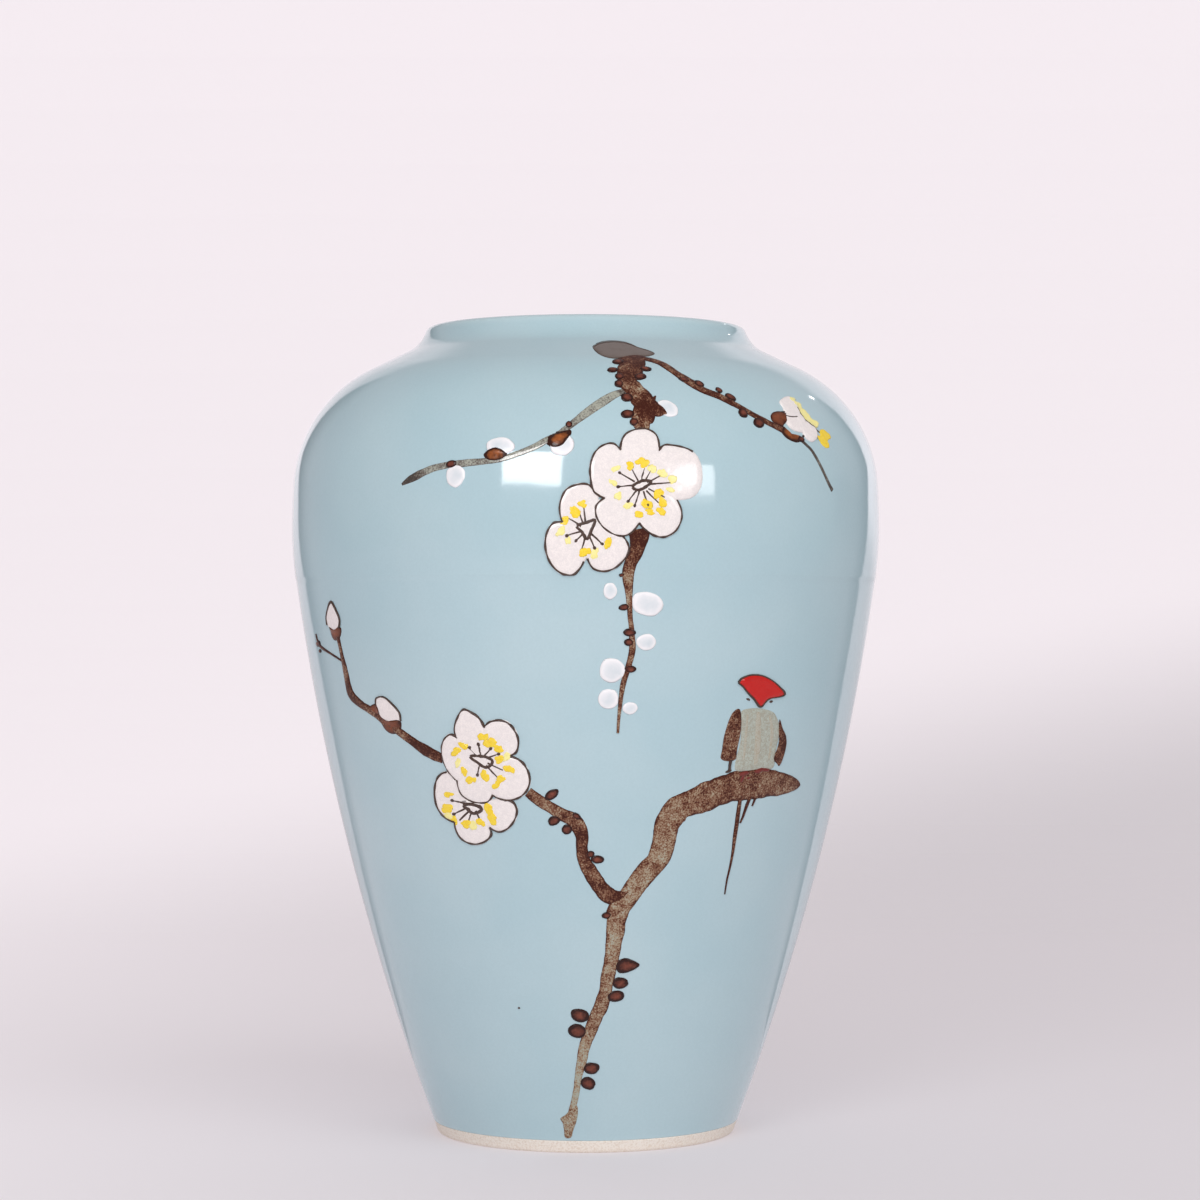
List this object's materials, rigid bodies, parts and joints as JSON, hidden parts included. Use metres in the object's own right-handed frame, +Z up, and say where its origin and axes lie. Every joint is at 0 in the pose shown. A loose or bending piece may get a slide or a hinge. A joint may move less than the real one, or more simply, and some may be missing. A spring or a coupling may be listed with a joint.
{
  "type": "vase",
  "caption": "Tall shouldered vase tapering to a narrow foot, with a wide low mouth and a raised painting of a flowering branch and a perched bird.",
  "frame": {"origin": "centre of the foot, on the surface the vase stands on", "axes": "+Z up along the axis of the vase, the painted front faces -Y"},
  "size_m": [0.19, 0.1906, 0.26],
  "materials": {
    "celadon_glaze": "gloss",
    "bare_clay": "matte",
    "bough_brown": "satin",
    "iron_red_brown": "gloss",
    "white_enamel": "gloss",
    "heart_yellow": "gloss",
    "crest_red": "gloss",
    "breast_grey": "gloss"
  },
  "bodies": {
    "root": {"vase_wall": "celadon_glaze", "foot_ring": "bare_clay", "base_glaze": "celadon_glaze", "hanging_bough": "bough_brown", "rising_bough": "bough_brown", "bough_knots": "iron_red_brown", "blossom_petals": "white_enamel", "blossom_hearts": "heart_yellow", "flower_buds": "white_enamel", "bud_calyxes": "iron_red_brown", "bird_cap": "crest_red", "bird_breast": "breast_grey", "bird_wings": "bough_brown", "bird_tail": "iron_red_brown"}
  },
  "joints": []
}
